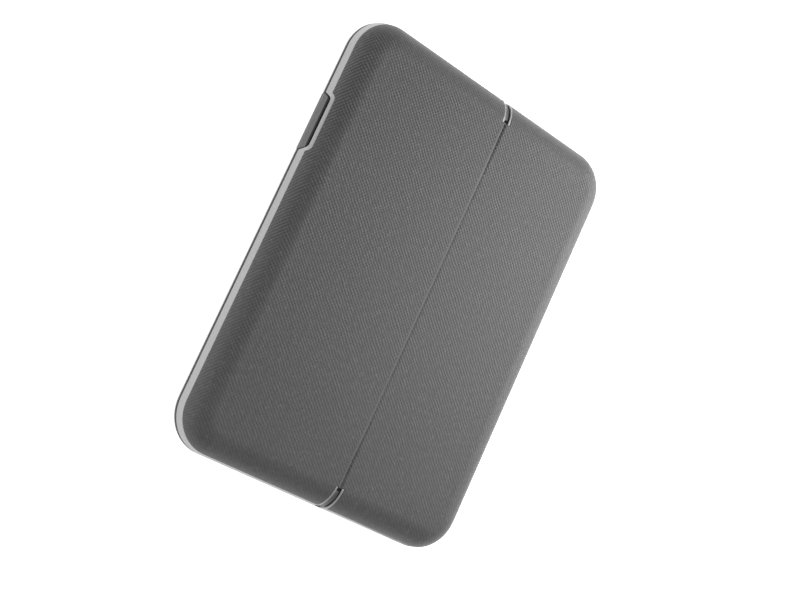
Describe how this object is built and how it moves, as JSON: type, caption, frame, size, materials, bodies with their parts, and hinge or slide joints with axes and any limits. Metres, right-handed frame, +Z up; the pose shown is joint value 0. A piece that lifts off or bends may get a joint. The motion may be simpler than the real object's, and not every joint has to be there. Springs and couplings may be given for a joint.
{
  "type": "tablet keyboard folio",
  "caption": "Hard folio with a two-panel folding lid that grips a tablet, a fabric spine, and a slim wireless keyboard in its base.",
  "frame": {"origin": "middle of the closed folio's footprint, on the table", "axes": "+X along the long side, +Y towards the spine, +Z up; the lid opens along the edge at -Y"},
  "size_m": [0.25, 0.1886, 0.0255],
  "materials": {
    "cover_skin": "embossed diagonal weave, matt",
    "rim_metal": "satin",
    "shell_plastic": "matt",
    "tab_plastic": "matt",
    "holder_plastic": "matt",
    "deck_plastic": "fine texture",
    "key_plastic": "matt with pale legends",
    "lining_cloth": "short nap",
    "board_fibre": "matt",
    "magnet_steel": "nickel plated",
    "screw_steel": "plated",
    "circuit_board": "solder mask",
    "membrane_film": "clear film over printed silver",
    "soft_silicone": "soft",
    "foot_rubber": "matt",
    "battery_foil": "laminate pouch",
    "light_lens": "clear"
  },
  "bodies": {
    "base": {"base_shell": "shell_plastic", "base_skin": "cover_skin", "base_rim": "rim_metal", "thumb_tab": "tab_plastic", "tab_magnet": "magnet_steel", "keyboard_deck": "deck_plastic", "backing_plate": "screw_steel", "switch_membrane": "membrane_film", "rubber_domes": "soft_silicone", "keyboard_ribs": "shell_plastic", "tablet_rest": "deck_plastic", "rest_magnets": "magnet_steel", "switch_body": "shell_plastic", "button_switch": "screw_steel", "light_pipes": "light_lens", "control_board": "circuit_board", "main_board": "circuit_board", "charging_socket": "screw_steel", "battery_cells": "battery_foil", "ribbon_cable": "membrane_film", "deck_bumpers": "soft_silicone", "casing_screws": "screw_steel", "rubber_feet": "foot_rubber", "spine_cloth": "cover_skin"},
    "spine": {"spine_board": "board_fibre", "spine_skin": "cover_skin"},
    "rear_panel": {"rear_panel_shell": "shell_plastic", "rear_panel_skin": "cover_skin", "rear_panel_rim": "rim_metal", "rear_panel_lining": "lining_cloth", "rear_panel_magnets": "magnet_steel", "lid_cloth": "cover_skin"},
    "front_panel": {"front_panel_shell": "shell_plastic", "front_panel_skin": "cover_skin", "front_panel_rim": "rim_metal", "tablet_holder": "holder_plastic", "keeper_plate": "magnet_steel", "holder_lining": "lining_cloth", "corner_pads": "soft_silicone", "fold_cloth": "cover_skin"},
    "power_switch": {"power_switch": "deck_plastic"},
    "connect_button": {"connect_button": "deck_plastic"},
    "function_keys": {"function_keys": "key_plastic"},
    "number_keys": {"number_keys": "key_plastic"},
    "upper_letter_keys": {"upper_letter_keys": "key_plastic"},
    "home_letter_keys": {"home_letter_keys": "key_plastic"},
    "lower_letter_keys": {"lower_letter_keys": "key_plastic"},
    "modifier_keys": {"modifier_keys": "key_plastic"},
    "backspace": {"backspace": "key_plastic"},
    "tab_key": {"tab_key": "key_plastic"},
    "caps_lock": {"caps_lock": "key_plastic"},
    "enter_key": {"enter_key": "key_plastic"},
    "left_shift": {"left_shift": "key_plastic"},
    "right_shift": {"right_shift": "key_plastic"},
    "space_bar": {"space_bar": "key_plastic"},
    "left_arrow": {"left_arrow": "key_plastic"},
    "right_arrow": {"right_arrow": "key_plastic"},
    "up_arrow": {"up_arrow": "key_plastic"},
    "down_arrow": {"down_arrow": "key_plastic"}
  },
  "joints": [
    {"name": "spine_hinge", "type": "hinge", "parent": "base", "child": "spine", "pos_m": [0, 0.09375, 0.0088], "axis": [-1, 0, 0], "range_deg": [0, 60]},
    {"name": "lid_hinge", "type": "hinge", "parent": "spine", "child": "rear_panel", "pos_m": [0, 0.09375, 0.01365], "axis": [-1, 0, 0], "range_deg": [0, 75]},
    {"name": "fold_hinge", "type": "hinge", "parent": "rear_panel", "child": "front_panel", "pos_m": [0, 0.0074, 0.0254], "axis": [-1, 0, 0], "range_deg": [0, 60]},
    {"name": "power_slide", "type": "slide", "parent": "base", "child": "power_switch", "axis": [1, 0, 0], "range_m": [0, 0.004]},
    {"name": "connect_press", "type": "slide", "parent": "base", "child": "connect_button", "axis": [0, 0, -1], "range_m": [0, 0.0005], "stiffness_N_per_m": 300},
    {"name": "function_keys_press", "type": "slide", "parent": "base", "child": "function_keys", "axis": [0, 0, -1], "range_m": [0, 0.0015], "stiffness_N_per_m": 1500, "deforming": ["rubber_domes"]},
    {"name": "number_keys_press", "type": "slide", "parent": "base", "child": "number_keys", "axis": [0, 0, -1], "range_m": [0, 0.0015], "stiffness_N_per_m": 1500, "deforming": ["rubber_domes"]},
    {"name": "upper_letter_keys_press", "type": "slide", "parent": "base", "child": "upper_letter_keys", "axis": [0, 0, -1], "range_m": [0, 0.0015], "stiffness_N_per_m": 1500, "deforming": ["rubber_domes"]},
    {"name": "home_letter_keys_press", "type": "slide", "parent": "base", "child": "home_letter_keys", "axis": [0, 0, -1], "range_m": [0, 0.0015], "stiffness_N_per_m": 1500, "deforming": ["rubber_domes"]},
    {"name": "lower_letter_keys_press", "type": "slide", "parent": "base", "child": "lower_letter_keys", "axis": [0, 0, -1], "range_m": [0, 0.0015], "stiffness_N_per_m": 1500, "deforming": ["rubber_domes"]},
    {"name": "modifier_keys_press", "type": "slide", "parent": "base", "child": "modifier_keys", "axis": [0, 0, -1], "range_m": [0, 0.0015], "stiffness_N_per_m": 1500, "deforming": ["rubber_domes"]},
    {"name": "backspace_press", "type": "slide", "parent": "base", "child": "backspace", "axis": [0, 0, -1], "range_m": [0, 0.0015], "stiffness_N_per_m": 300, "deforming": ["rubber_domes"]},
    {"name": "tab_key_press", "type": "slide", "parent": "base", "child": "tab_key", "axis": [0, 0, -1], "range_m": [0, 0.0015], "stiffness_N_per_m": 300, "deforming": ["rubber_domes"]},
    {"name": "caps_lock_press", "type": "slide", "parent": "base", "child": "caps_lock", "axis": [0, 0, -1], "range_m": [0, 0.0015], "stiffness_N_per_m": 300, "deforming": ["rubber_domes"]},
    {"name": "enter_key_press", "type": "slide", "parent": "base", "child": "enter_key", "axis": [0, 0, -1], "range_m": [0, 0.0015], "stiffness_N_per_m": 300, "deforming": ["rubber_domes"]},
    {"name": "left_shift_press", "type": "slide", "parent": "base", "child": "left_shift", "axis": [0, 0, -1], "range_m": [0, 0.0015], "stiffness_N_per_m": 300, "deforming": ["rubber_domes"]},
    {"name": "right_shift_press", "type": "slide", "parent": "base", "child": "right_shift", "axis": [0, 0, -1], "range_m": [0, 0.0015], "stiffness_N_per_m": 300, "deforming": ["rubber_domes"]},
    {"name": "space_bar_press", "type": "slide", "parent": "base", "child": "space_bar", "axis": [0, 0, -1], "range_m": [0, 0.0015], "stiffness_N_per_m": 300, "deforming": ["rubber_domes"]},
    {"name": "left_arrow_press", "type": "slide", "parent": "base", "child": "left_arrow", "axis": [0, 0, -1], "range_m": [0, 0.0015], "stiffness_N_per_m": 300, "deforming": ["rubber_domes"]},
    {"name": "right_arrow_press", "type": "slide", "parent": "base", "child": "right_arrow", "axis": [0, 0, -1], "range_m": [0, 0.0015], "stiffness_N_per_m": 300, "deforming": ["rubber_domes"]},
    {"name": "up_arrow_press", "type": "slide", "parent": "base", "child": "up_arrow", "axis": [0, 0, -1], "range_m": [0, 0.0015], "stiffness_N_per_m": 300, "deforming": ["rubber_domes"]},
    {"name": "down_arrow_press", "type": "slide", "parent": "base", "child": "down_arrow", "axis": [0, 0, -1], "range_m": [0, 0.0015], "stiffness_N_per_m": 300, "deforming": ["rubber_domes"]}
  ]
}
